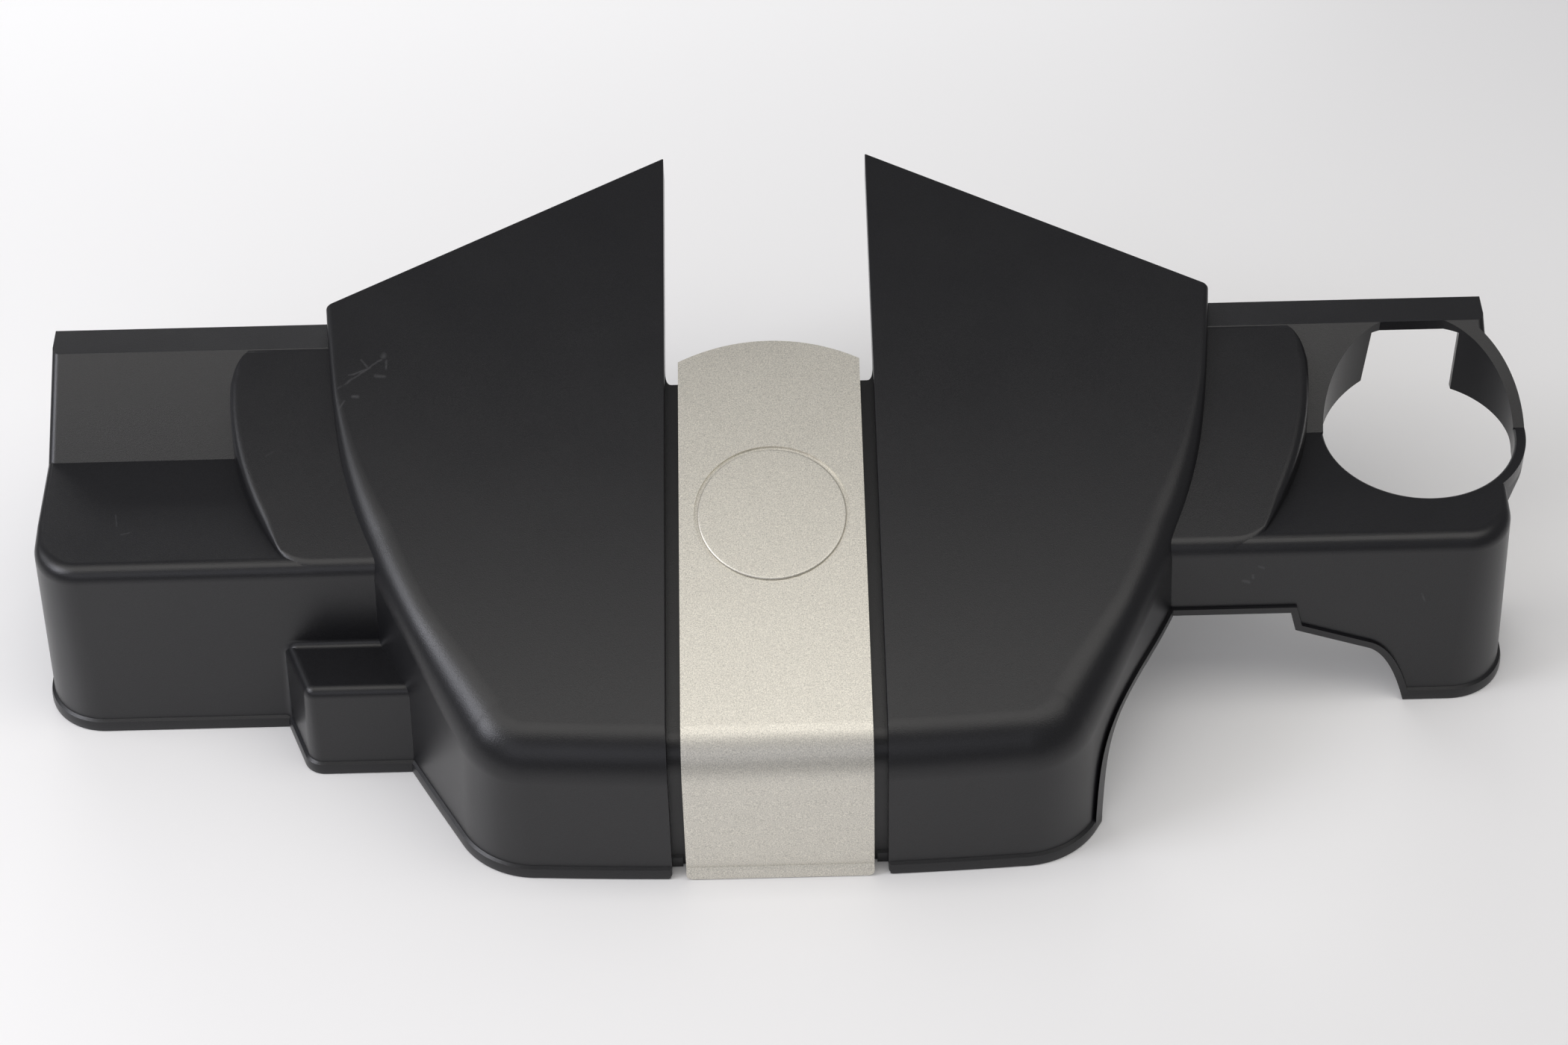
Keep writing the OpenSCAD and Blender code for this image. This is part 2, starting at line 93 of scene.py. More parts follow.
# The tent's walls are dark where the cover mirrors them, and pale for the light they shed
ray = tent.node_tree.nodes.new("ShaderNodeLightPath")
level = tent.node_tree.nodes.new("ShaderNodeMath")
level.operation = "MULTIPLY_ADD"
level.inputs[1].default_value, level.inputs[2].default_value = mirrored_level - shed_level, shed_level
tent.node_tree.links.new(ray.outputs["Is Glossy Ray"], level.inputs[0])
tent.node_tree.links.new(level.outputs[0], tent.node_tree.nodes["Background"].inputs["Strength"])
bpy.context.scene.world = tent


def softbox(name, at, aim, width, height, watts, tint=(1, 1, 1)):
    """Rectangular lamp that stands at one point and faces another."""
    lamp = bpy.data.lights.new(name, "AREA")
    lamp.shape, lamp.size, lamp.size_y = "RECTANGLE", width, height
    lamp.energy, lamp.color = watts, tint
    made = bpy.data.objects.new(name, lamp)
    made.location = at
    made.rotation_euler = (Vector(aim) - Vector(at)).to_track_quat("-Z", "Y").to_euler()
    bpy.context.scene.collection.objects.link(made)
    return made


softbox("top_softbox", (-0.1, 0.0, 0.8), (-0.1, 0.0, 0), 1.8, 0.46, 3.95, (1, 0.975, 0.93))
softbox("front_softbox", (-0.7, -2.1, 1.6), (-0.1, 0.1, 0.05), 2.2, 1.3, 6.6, (0.9, 0.91, 1))
softbox("left_softbox", (-1.5, -0.3, 1.2), (0, 0.12, 0.05), 0.7, 0.7, 10.8, (0.9, 0.91, 1))
softbox("left_rear_softbox", (-1.6, 0.4, 0.95), (0, 0.12, 0.05), 0.6, 0.6, 2, (0.95, 0.96, 1))
softbox("back_softbox", (-0.3, 1.9, 0.7), (-0.1, 0.8, 0), 1.8, 0.3, 9)

# Cover shell
# One injection moulding in black, fine-grained plastic: two wings with a sunk channel between
# them, two side arms, a filler hole with its collar, a small box and a bead along the rim.
# It is drafted all round, left hollow below, and stiffened by ribs and four hollow bosses.
MM = 0.001
# Sizes are in millimetres and leans in degrees. eps is by how far joined forms overlap, and
# beyond is how far cutting forms reach past the rest. Wall, draft and the bead on the rim:
wall_t, draft_k, eps, beyond = 2.5, math.tan(math.radians(3.4)), 0.03, 40
rim_h, rim_lip, rim_out, rim_waist, rim_ledge, rim_round_cut = 6.2, 2.6, 1.6, 1.0, 0.9, 3.4
# Wings and the sunk channel:
top_h, top_pitch, gap_x, gap_corner, peak_y = 74.1, math.radians(16), 49.5, 12, 319
shoulder_x, shoulder_y, shoulder_lean, shoulder_pull = 220, 240.5, 6, 1.15
flank_x, flank_y, flank_lean, flank_pull = 153, 36.8, 30, 0.44
corner_r, front_bow, bend_r, flank_r, tail_r, wing_edge_r, lip_h = 40, 3.3, 25, 17, 3, 0.7, 14
channel_d, channel_y, channel_foot_x, wing_foot_r = 8, 200, 44.6, 2.2
# Arms, with their floor, the slope up to the ledge, and the hump beside the wing:
arm_x, arm_y, arm_corner_r, arm_flare, arm_edge_r, arm_side_r = 349.2, 100.8, 28, 0.8, 8, 3
floor_z, crease_y, ledge_y, slope_r, ledge_z = 99.3, 181.5, 223.5, 4, 131.3
hump_drop, hump_x, hump_r, hump_least_r, hump_foot_in, hump_foot_lean = 6.65, 258, 5, 0.6, 36, 33
hump_tip, hump_wide_before, hump_turn_in, hump_past_ledge = 12, 17, 10, 2.5
arm_in, lead, arm_stops, slope_lap = 140, 20, (12, 38), 12
# Filler hole with its collar and slot:
hole_x, hole_y, hole_r, hole_edge, collar_z = 308.2, 181, 45.2, 1.6, 90
collar_r, collar_lip, collar_lip_h = hole_r + 3, 2.3, 8
notch_w, notch_x, notch_flare = 41.6, 309.8, 2.4
# Small box, and the cut under the right arm:
box_h, box_y, box_x, box_r, box_corner_r, box_lean, box_fillet_r = 51.5, 70, 220, 5, 9, 22, 3
cut_h, cut_step_x, cut_end_x = 57.8, 242, 299.5
# Bosses, ribs and the panel's pins:
boss_places = np.array([[-98, 66], [98, 66], [-138, 208], [138, 208]], float)
boss_z, boss_r, boss_widens, seat_t, neck_r = 34, 15, 3, 3, 7.8
gusset_out, gusset_t, gusset_start, gusset_drop = 15, 1.8, 0.35, 26
rib_t, rib_h, rib_x, rib_y = 1.8, 9, (76, 118, 160), (44, 104, 150, 232)
pin_r, pin_x, pin_shares, pin_gap = 2.5, 30, (0.24, 0.55, 0.91), 0.4
pin_places = np.array([[s * pin_x, y * channel_y] for y in pin_shares for s in (-1, 1)])
pitch_k = math.tan(top_pitch)
slope_k = (ledge_z - floor_z) / (ledge_y - crease_y)
top_face, hump_face, floor_face = (top_h, pitch_k), (top_h - hump_drop, pitch_k), (floor_z, 0)
slope_face, box_face = (floor_z - slope_k * crease_y, slope_k), (box_h, 0)


def heading(lean):
    """Direction at an angle from the Y axis: (sine, cosine)."""
    return np.array([math.sin(math.radians(lean)), math.cos(math.radians(lean))])


def curve(a, b, c, d, n):
    """Cubic curve a(1-t)^3 + 3bt(1-t)^2 + 3ct^2(1-t) + dt^3 at n points, without its first."""
    t = np.linspace(0, 1, n + 1)[1:, None]
    a, b, c, d = np.array([a, b, c, d], float)
    return (1 - t)**3 * a + 3 * (1 - t)**2 * t * b + 3 * (1 - t) * t**2 * c + t**3 * d


def arc(centre, r, a0, a1, n):
    """Centre plus r times (cosine, sine) of n + 1 even angles from a0 to a1, in degrees."""
    a = np.radians(np.linspace(a0, a1, n + 1))[:, None]
    return np.array(centre) + r * np.hstack([np.cos(a), np.sin(a)])


def outward(p):
    """Unit normal at each point of a closed outline: its neighbours' difference turned right."""
    d = np.roll(p, -1, 0) - np.roll(p, 1, 0)
    return np.stack([d[:, 1], -d[:, 0]], 1) / np.linalg.norm(d, axis=1, keepdims=True)


def moved_out(p, far):
    """Outline whose edges are all moved out: each corner goes far (m + n) / (1 + m.n), where m
    and n are the unit normals of its two edges."""
    d = np.roll(p, -1, 0) - p
    n = np.stack([d[:, 1], -d[:, 0]], 1) / np.linalg.norm(d, axis=1, keepdims=True)
    m = np.roll(n, 1, 0)
    return p + far * (m + n) / (1 + (m * n).sum(1, keepdims=True))


def skin(rings, cap=0):
    """Closed solid over rings[k, i], the point i of ring k, in millimetres. Neighbouring rings
    are joined by quads, and the first and the last ring are filled. cap is the last one's
    material number."""
    k, n = rings.shape[:2]
    at = np.arange(k * n).reshape(k, n)
    on = np.roll(at, -1, 1)
    quads = np.stack([at[:-1], on[:-1], on[1:], at[1:]], -1).reshape(-1, 4)
    mesh = bpy.data.meshes.new("solid")
    ends = [at[0, ::-1].tolist(), at[-1].tolist()]
    mesh.from_pydata(rings.reshape(-1, 3) * MM, [], quads.tolist() + ends)
    mesh.polygons[len(mesh.polygons) - 1].material_index = cap
    return put("solid", mesh)


def prism(outline, axis, low, high, cap=0):
    """Straight prism: the flat outline carried along axis 0, 1 or 2 from low to high. cap is
    the high end's material number."""
    p = np.array(outline, float)
    q = np.roll(p, -1, 0)
    if ((p[:, 0] * q[:, 1] - p[:, 1] * q[:, 0]).sum() > 0) == (axis == 1):
        p = p[::-1]
    rings = np.empty((2, len(p), 3))
    rings[:, :, [i for i in range(3) if i != axis]] = p
    rings[:, :, axis] = [[low], [high]]
    return skin(rings, cap)


def numbered(body, number):
    """Gives every face of a solid one material number."""
    faces = body.data.polygons
    faces.foreach_set("material_index", np.full(len(faces), number, np.int32))
    return body


def brick(x, y, z, cap=0):
    """Box between the two ends given on each axis."""
    return prism([[x[0], y[0]], [x[1], y[0]], [x[1], y[1]], [x[0], y[1]]], 2, *z, cap)


def lathe(profile, n=64, at=(0, 0), place=None):
    """Solid of revolution: point j of the profile (radius, height) at angle a is (r cos a,
    r sin a, h), with the first and last circles filled. place turns it into its position."""
    a = np.linspace(0, 2 * np.pi, n, endpoint=False)[None, :, None]
    r, h = np.array(profile, float).T[:, :, None, None]
    rings = np.concatenate([at[0] + r * np.cos(a), at[1] + r * np.sin(a), h + 0 * a], 2)
    made = skin(rings)
    if place is not None:
        made.data.transform(place)
    return made


def combine(how, body, *tools):
    """body joined with, cut by, or limited to each tool in turn. The tools are used up."""
    for tool in tools:
        step = body.modifiers.new("step", "BOOLEAN")
        step.operation, step.solver, step.object = how, "MANIFOLD", tool
    made = bpy.data.meshes.new_from_object(body.evaluated_get(bpy.context.evaluated_depsgraph_get()))
    body.modifiers.clear()
    body.data = made
    for tool in tools:
        bpy.data.objects.remove(tool)
    if not len(made.polygons):
        raise RuntimeError("an empty solid")
    return body


def join(body, *tools):
    """body and the tools as one solid."""
    return combine("UNION", body, *tools)


def cut(body, *tools):
    """body without the tools."""
    return combine("DIFFERENCE", body, *tools)


def keep(body, *tools):
    """What body shares with every tool."""
    return combine("INTERSECT", body, *tools)


def again(body):
    """A second copy of a solid."""
    return put("solid", body.data.copy())


def mirrored(body):
    """A copy on the other side of the centre line, with its faces turned back outwards."""
    made = again(body)
    made.data.transform(Matrix.Scale(-1, 4, (1, 0, 0)))
    made.data.flip_normals()
    return made


def edge_section(start, height, slope, radius, steps):
    """Rounded edge between a drafted wall and a sloping top, as (inward, up) for each step and
    outline point: the arc of that radius that touches both lines, from wall to top."""
    height, slope, radius = np.broadcast_arrays(*map(np.asarray, (height, slope, radius)))
    z = (height + slope * start) / (1 - slope * draft_k)
    corner = np.stack([start + z * draft_k, z], -1)
    down = -np.array([draft_k, 1]) / math.hypot(draft_k, 1)
    along = np.stack([1 + 0 * slope, slope], -1) / np.hypot(1, slope)[..., None]
    half = np.arccos((down * along).sum(-1))[..., None] / 2
    radius = radius[..., None]
    between = (down + along) / np.linalg.norm(down + along, axis=-1, keepdims=True)
    mid = corner + between * radius / np.sin(half)
    a, b = corner + down * radius / np.tan(half) - mid, corner + along * radius / np.tan(half) - mid
    turn = np.pi - 2 * half
    t = np.linspace(0, 1, steps + 1).reshape(-1, *[1] * a.ndim)
    return mid + (np.sin((1 - t) * turn) * a + np.sin(t * turn) * b) / np.sin(turn)


def moulded_block(outline, face, radii, inset=0, z_ref=0, z_low=0, steps=12, cap=0, bead=False):
    """Drafted block: the outline, drawn at the height z_ref, is carried up a section of a foot,
    a wall with the draft and a rounded edge, and moves inwards by the section's first value.
    The top is the plane face[0] + face[1] y, and inset moves every face inwards. A bead at the
    foot is an upright lip, a steep slope, and a small ledge that runs back into the wall."""
    least_r = 0.4
    out = outward(outline)
    height = face[0] + face[1] * outline[:, 1] - inset * math.hypot(1, face[1])
    start = inset - z_ref * draft_k
    edge = edge_section(start, height, -face[1] * out[:, 1], np.maximum(radii - inset, least_r), steps)
    foot = [[start + z_low * draft_k, z_low]]
    if bead:
        foot = [[-rim_out, 0], [-rim_out, rim_lip], [-rim_waist, rim_h - rim_ledge],
                [rim_h * draft_k, rim_h]]
    section = np.concatenate([np.broadcast_to(step, edge[:1].shape) for step in foot] + [edge])
    return skin(np.concatenate([outline - out * section[..., :1], section[..., 1:]], -1), cap)


def wing_outline():
    """Plan of both wings at the rim plane: a slightly bowed front, a round corner, a straight
    flank and a cubic curve to the shoulder, with the same points mirrored on the left."""
    start = np.array([flank_x - (flank_y - front_bow) * math.tan(math.radians(flank_lean)), front_bow])
    start[0] -= corner_r * math.tan(math.radians(45 - flank_lean / 2))
    x = np.linspace(0, 1, 13)[:-1] * start[0]
    bow = np.stack([x, front_bow * (x / start[0])**2], 1)
    corner = arc(start + [0, corner_r], corner_r, -90, -flank_lean, 22)
    flank, end = np.array([flank_x, flank_y]), np.array([shoulder_x, shoulder_y])
    pull = flank_pull * (shoulder_y - flank_y)
    bend = curve(flank, flank + pull * heading(flank_lean),
                 end - shoulder_pull * pull * heading(shoulder_lean), end, 44)
    half = np.concatenate([bow, corner, [flank], bend, [[shoulder_x + 2, peak_y + beyond]]])
    return np.concatenate([half, half[:0:-1] * [-1, 1]])


def front_section(inset, z_low):
    """Side view of the wings on the centre line, as (y, z): wall, bend and sloping top."""
    height = top_h - inset / math.cos(top_pitch)
    edge = edge_section(inset, height, pitch_k, max(bend_r - inset, 1), 20)
    end = peak_y + beyond
    return np.concatenate([[[inset + z_low * draft_k, z_low]], edge.reshape(-1, 2),
                           [[end, height + pitch_k * end], [end, z_low]]])


def bead_section(back):
    """Side view of the bead before a wall set back from the front, as (y, z). Its ledge runs on
    into the wall."""
    run_on = 1.3
    waist, mid = np.array([back - rim_waist, rim_h - rim_ledge]), back + wall_t / 2
    end = waist + run_on * np.array([rim_waist + rim_h * draft_k, rim_ledge])
    return np.array([[back - rim_out, 0], [back - rim_out, rim_lip], waist, end, [mid, end[1]], [mid, 0]])


def across(section, half):
    """Prism of a side view between x = -half and half."""
    return prism(section, 0, -half, half)


def edge_rounder(r):
    """What rounds the right wing's edge beside the channel: between two side views, one well
    outside the wing and one r (1 - sin a) inside it, at x = gap_x + r (1 - cos a). It starts
    beside the wing and ends just above its top."""
    beside, above_by, well_out = 0.5, 0.1, 4
    turns = np.radians(np.linspace(0, 90, 6))
    steps = [(-beside, r)] + [(r * (1 - math.cos(a)), r * (1 - math.sin(a))) for a in turns]
    rings = []
    for over, inset in steps + [(r + above_by / 2, -above_by)]:
        p = np.concatenate([front_section(-well_out, -1)[:-1], front_section(inset, -1)[-2::-1]])
        rings.append(np.insert(p, 0, gap_x + over, axis=1))
    return skin(np.array(rings)[:, ::-1])


def above(face, depth=0):
    """Everything above a sloping face."""
    far = 2 * arm_x
    return across([[-far, face[0] - face[1] * far - depth], [far, face[0] + face[1] * far - depth],
                   [far, far], [-far, far]], far)


def wing_trim(inset):
    """Prism over the plan of the wings between their free edges, without the gap at the rear,
    whose inner corners run over the channel's end in a curve."""
    shoulder_edge = shoulder_x - draft_k * (top_h + pitch_k * shoulder_y)
    wide = shoulder_x + beyond
    low = peak_y - (peak_y - shoulder_y) / (shoulder_edge - gap_x) * (wide - gap_x)
    inner = np.array([gap_x, channel_y])
    corner = curve(inner + [0, gap_corner], inner + [0, gap_corner / 3], inner - [gap_corner / 24, 0],
                   inner - [gap_corner / 4, 0], 8)
    half = np.concatenate([[[wide, -beyond], [wide, low], [gap_x, peak_y], inner + [0, gap_corner]], corner])
    plan = np.concatenate([half[:1] * [-1, 1], half, half[:0:-1] * [-1, 1]])
    return prism(moved_out(plan, -inset), 2, -beyond, 2 * peak_y)


def wing_block(inset, z_low):
    """Both wings and the sunk channel, before their free edges are cut. The rolled edge gets
    tighter along the flank, from the front's bend to the shoulder."""
    p = wing_outline()
    stops = [0.7 * flank_y, *shoulder_y * np.array([0.3, 0.48, 0.65, 0.8, 1])]
    radii = np.interp(p[:, 1], stops, [bend_r, flank_r, flank_r, 0.55 * flank_r, tail_r + 1, tail_r])
    block = moulded_block(p, top_face, radii, inset, 0, z_low, 16, bead=inset == 0)
    block = cut(block, across(front_section(-beyond, z_low - 1), gap_x + inset))
    if inset == 0:
        right_edge = edge_rounder(wing_edge_r)
        block = cut(block, mirrored(right_edge), right_edge)
    # Material 2 is the channel's painted shade: a matt, brownish copy of the black plastic.
    channel = across(front_section(channel_d + inset, z_low), gap_x + inset + eps)
    return join(block, numbered(channel, 2))


def arm_outline():
    """Plan of the right arm: a straight front, a round corner and an end wall that leans out."""
    centre = np.array([arm_x - arm_corner_r, arm_y + arm_corner_r])
    out, turn = heading(arm_flare), centre + [arm_corner_r, 0]
    far = turn + out * (shoulder_y + beyond - turn[1])
    end_wall = [turn + out * stop for stop in arm_stops] + [far - lead * out, far]
    return np.concatenate([[[arm_in, arm_y], [arm_in + lead, arm_y]],
                           arc(centre, arm_corner_r, -90, -arm_flare, 20), end_wall, [[arm_in, far[1]]]])


def hump_outline():
    """Plan of the right hump: from a round tip at the arm's front edge, a cubic curve sweeps out
    to its widest place, and a second one turns in at the ledge."""
    foot_pull, wide_pull, wide_lean, turn_pull, end_pull, end_lean = 42, 34, 2, 10, 7, 52
    foot = np.array([hump_x - hump_foot_in, arm_y + floor_z * draft_k + eps])
    wide = np.array([hump_x, ledge_y - hump_wide_before])
    end = np.array([hump_x - hump_turn_in, ledge_y + hump_past_ledge])
    rear_x, rear_y, out = hump_x - 2 * hump_turn_in, shoulder_y + 8, heading(hump_foot_lean)
    sweep = curve(foot, foot + foot_pull * out, wide - wide_pull * heading(wide_lean), wide, 32)
    sweep = sweep[sweep[:, 1] > foot[1] + hump_tip - 2]
    tip = foot - [hump_tip, 0]
    front = curve(tip, foot - [hump_tip / 4, 0], foot + hump_tip / 4 * out, sweep[0], 10)[:-1]
    turn_in = curve(wide, wide + turn_pull * heading(-wide_lean),
                    end - end_pull * heading(-end_lean), end, 14)
    return np.concatenate([[[arm_in, foot[1]], [arm_in + lead, foot[1]], tip], front, sweep, turn_in,
                           [[rear_x, rear_y], [rear_x, rear_y + lead], [arm_in, rear_y + lead]]])


def arm_block(inset, z_low):
    """Right arm: a block with a flat floor, one with the slope up to the ledge, and the hump
    beside the wing. The hump's edge radius is a share of its height over the arm, and at the
    tip it grows to meet the arm's own edge."""
    share, tip_start, tip_swell, ledge_lap = 0.8, 5, 1.11, 6
    p, q = arm_outline(), hump_outline()
    low, rear = z_low - 1, shoulder_y + (inset > 0)
    stops = [arm_y + 0.4 * arm_corner_r, arm_y + arm_corner_r + arm_stops[0]]
    radii = np.interp(p[:, 1], stops, [arm_edge_r, arm_side_r])
    base = keep(moulded_block(p, floor_face, radii, inset, 0, z_low, bead=inset == 0),
                brick((0, 2 * arm_x), (0, rear), (low, low + ledge_z)))
    slope = keep(moulded_block(p, slope_face, slope_r + 0 * radii, inset, 0, z_low, cap=1),
                 brick((0, 2 * arm_x), (crease_y - slope_lap, rear), (floor_z / 2, ledge_z - inset), cap=1))
    below = np.maximum(floor_z, floor_z + slope_k * (q[:, 1] - crease_y))
    rise = hump_face[0] + hump_face[1] * q[:, 1] - below
    tip_r = np.interp(q[:, 1] - q[0, 1], [0, tip_start, hump_tip],
                      [tip_swell * arm_edge_r, hump_r, hump_least_r])
    radii = np.maximum(tip_r, np.clip(share * rise, hump_least_r, hump_r))
    hump = keep(moulded_block(q, hump_face, radii, inset, floor_z, z_low),
                brick((0, 2 * arm_x), (0, ledge_y + ledge_lap), (low, ledge_z - inset - 0.3)))
    return join(base, slope, hump)


def box_block(inset, z_low):
    """Small box in front of the right arm, with a round corner and a side that leans inwards to
    the front. The cover has it mirrored on the left."""
    r, corner, out = box_corner_r, np.array([box_x, box_y], float), heading(box_lean)
    centre = corner + [-r * math.tan(math.radians(90 - box_lean) / 2), r]
    back = corner + out * (arm_y + lead - box_y)
    p = np.concatenate([[[arm_in, box_y], [arm_in + lead, box_y]], arc(centre, r, -90, -box_lean, 12),
                        [back - 0.8 * lead * out, back, [arm_in, back[1]]]])
    return moulded_block(p, box_face, box_r + 0 * p[:, 1], inset, 0, z_low, bead=inset == 0)


def box_fillet(r):
    """Hollow fillet round the small box, where it meets the arm. At the distance r (1 - sin a)
    from the arm's wall, the box's front view grows outwards by r (1 - cos a). The last view
    lies inside the wall."""
    lean_tan, lean_cos, sunk = 0.4, 0.93, 0.6
    side = box_x + (arm_y - box_y) * math.tan(math.radians(box_lean))
    drift = (box_h - box_r) * draft_k / lean_cos
    rings = []
    for a, less in [(a, 0) for a in np.radians(np.linspace(0, 90, 9))] + [(math.pi / 2, sunk)]:
        grow, gap = r * (1 - math.cos(a)), r * (1 - math.sin(a)) - less
        edge = -side + gap * lean_tan
        p = np.concatenate([[[edge - grow, 0]],
                            arc([edge + drift + box_r, box_h - box_r], box_r + grow, 176, 90, 10),
                            [[-arm_in - lead, box_h + grow], [-arm_in - lead, 0]]])
        rings.append(np.stack([p[:, 0], arm_y + p[:, 1] * draft_k - gap, p[:, 1]], 1))
    return skin(np.array(rings)[:, ::-1])


def cover_outer(inset=0):
    """Outer form of the whole moulding, moved inwards by inset."""
    arm = arm_block(inset, 0)
    box = box_block(inset, 0)
    body = join(keep(wing_block(inset, 0), wing_trim(inset)), mirrored(arm), mirrored(box), arm)
    bpy.data.objects.remove(box)
    return body


def cover_hollow():
    """Space inside the moulding. It stops short of the free edges, which leaves a lip there."""
    arm = arm_block(wall_t, -1)
    box = box_block(wall_t, -1)
    wings = cut(wing_block(wall_t, -1), cut(above(top_face, lip_h), wing_trim(wall_t)))
    body = join(wings, mirrored(arm), mirrored(box), arm)
    bpy.data.objects.remove(box)
    return body


def hole_block(r, z_low):
    """Round block at the filler hole that reaches up to the faces of the arm."""
    body = lathe([[r, z_low], [r, ledge_z]], 160, (hole_x, hole_y))
    return cut(body, keep(above(floor_face, eps), above(slope_face, eps)))


def lowered(body, far):
    """The solid, moved down."""
    body.data.transform(Matrix.Translation((0, 0, -far * MM)))
    return body


def collar():
    """Collar round the filler hole, with a lip at its top."""
    lip = cut(hole_block(collar_r + collar_lip, collar_z),
              lowered(hole_block(collar_r + 2 * collar_lip, collar_z - beyond), collar_lip_h))
    return join(hole_block(collar_r, collar_z), lip)


def collar_fillet():
    """Sloping fillet in the corner between the collar and the end wall: the outline that wraps
    two circles, which shrinks as it rises. Its point in the direction d is the further circle's
    centre plus its radius times d."""
    shrink, sunk, small, in_x, behind_y = 3, 1.5, 10, 16, 40
    d = arc([0, 0], 1, 0, 360, 160)[:-1]
    one, two = np.array([hole_x, hole_y]), np.array([arm_x - in_x, arm_y + behind_y])
    big = collar_r + collar_lip
    further = (d @ (two - one) + small > big)[:, None]
    centre, r = np.where(further, two, one), np.where(further, small, big)
    z = np.ones((len(d), 1))
    return skin(np.stack([np.hstack([centre + r * d, z * (collar_z - shrink)]),
                          np.hstack([centre + (r - shrink) * d, z * (floor_z - sunk)])]))


def filler_hole():
    """What the hole, its rounded edge and the slot behind it take away. The edge turns from the
    hole's wall into the arm's floor by 80 degrees, a little flatter than a circle."""
    wider, higher, under = 1.2, 1.02, ledge_z - 2 * wall_t - 0.3
    well = lathe([[hole_r, -1], [hole_r, under + eps]], 160, (hole_x, hole_y))
    high = keep(lathe([[hole_r, -1], [hole_r, ledge_z + 1]], 160, (hole_x, hole_y)),
                brick((0, 2 * arm_x), (0, ledge_y), (-1, ledge_z + 1)))
    a = np.radians(np.linspace(0, 80, 9))
    out, up = hole_edge * (1 - np.cos(a)) * wider, hole_edge * np.sin(a) * higher
    edge = np.stack([hole_r + out, floor_z - hole_edge + up], 1)
    foot, top = [[hole_r - 0.2, floor_z - hole_edge - 0.4]], [[hole_r + 3, floor_z + 2]]
    rim = lathe(np.concatenate([foot, edge, top]), 160, (hole_x, hole_y))
    rim = cut(rim, brick((0, 2 * arm_x), (crease_y, shoulder_y + crease_y), (0, ledge_z)))
    left, right, inner = notch_x - notch_w / 2, notch_x + notch_w / 2, hole_x - hole_r + 2
    slot = prism([[left, under], [left - notch_flare, floor_z - 3], [inner, collar_z], [inner, 0],
                  [right, 0], [right, under]], 1, hole_y, shoulder_y + 1)
    return [well, high, rim, slot]


def front_cut(grow=0):
    """Prism along Y over the front view of the cut under the right arm, made wider by grow: up
    beside the wing, along the arm with a step, and down in a curve to the end wall."""
    step_w, step_drop, wing_run, wing_back, end_back, end_share = 3, 11, 17, 3.6, 19, 0.59
    wing, top = np.array([flank_x - wing_back, 0]), np.array([flank_x + wing_run, cut_h])
    bend, foot = np.array([cut_end_x - end_back, cut_h * end_share]), np.array([cut_end_x, 0])
    p = np.concatenate([[[wing[0] - 1, -beyond], wing],
                        curve(wing, wing + [0.8, 42], wing + [1, cut_h - 1.5], top, 24),
                        [[cut_step_x - 0.5, cut_h], [cut_step_x - 0.5 + step_w, cut_h - step_drop], bend],
                        curve(bend, bend + [9, -4], foot + [-4, 14], foot, 20),
                        [[cut_end_x + 1, -beyond]]])
    area = (p[:, 0] * np.roll(p[:, 1], -1) - p[:, 1] * np.roll(p[:, 0], -1)).sum()
    return prism(moved_out(p, grow if area > 0 else -grow), 1, -beyond, arm_y + beyond)


def end_cut():
    """Prism along X over the side view of the opening in the right end wall."""
    front, rear, wall_in = arm_y + 2.2 * arm_corner_r, shoulder_y + 1, arm_x - 14
    bend = curve([front, collar_z / 2], [front, collar_z * 0.85], [front + 12, collar_z],
                 [front + 26, collar_z], 20)
    p = np.concatenate([[[front, -1]], bend, [[rear, collar_z], [rear, -1]]])
    return prism(p, 0, wall_in, wall_in + beyond)


def rim_bead():
    """Bead round the cut under the right arm, up the left arm's rear edge, and on the
    channel's foot beside the panel."""
    near = join(front_cut(rim_round_cut),
                brick((-arm_x - 5, -5), (shoulder_y - rim_h, shoulder_y), (0, ledge_z - 3 * wall_t)))
    foot = cut(across(bead_section(channel_d), gap_x + wall_t / 3),
               brick((-channel_foot_x, channel_foot_x), (-beyond, beyond), (-beyond, beyond)))
    # The bead on the channel's foot gets material 2, the channel's painted shade.
    return join(keep(cover_outer(-rim_out + 0.1), near), numbered(foot, 2))


def foot_rounder(x, r, y):
    """What rounds a lower corner of the front view at x, by the radius r, up to y: the corner's
    square less a quarter circle. A negative r rounds the corner of what lies to the right."""
    turn = (0, -90) if r > 0 else (180, 270)
    round_part = arc([x - r, abs(r)], abs(r), *turn, 10)
    step = math.copysign(1, r)
    return prism(np.concatenate([[[x + step, -1], [x + step, abs(r)]], round_part, [[x - r, -1]]]), 1, -5, y)


def on_top(x, y):
    """Matrix that places a thing on the wings' top face, square to it."""
    at = Matrix.Translation((x * MM, y * MM, (top_h + pitch_k * y) * MM))
    return at @ Matrix.Rotation(top_pitch, 4, "X")


def boss(x, y):
    """Hollow post for a grommet, with four gussets that run up to the top."""
    into_top = 5
    h = top_h + pitch_k * y + into_top - boss_z
    start, wide, inside = h * gusset_start, boss_r + gusset_out, boss_r - 1
    post = lathe([[boss_r, boss_z], [boss_r + boss_widens, boss_z + h]], 64, (x, y))
    for angle in (45, 135, 225, 315):
        gusset = prism([[inside, start], [boss_r, start], [wide, h - gusset_drop], [wide, h],
                        [inside, h]], 1, -gusset_t / 2, gusset_t / 2)
        gusset.data.transform(Matrix.Translation((x * MM, y * MM, boss_z * MM)) @
                              Matrix.Rotation(math.radians(angle), 4, "Z"))
        post = join(post, gusset)
    return post


def boss_hollow(x, y):
    """Bore for the grommet's neck and the hollow above it."""
    neck, core, seat_z = neck_r + 0.3, boss_r - wall_t, boss_z + seat_t
    high = top_h + pitch_k * y - wall_t * 2 - pitch_k * (boss_r + boss_widens)
    return lathe([[neck, boss_z - 1], [neck, seat_z], [core, seat_z], [core + 1.8, high]], 64, (x, y))


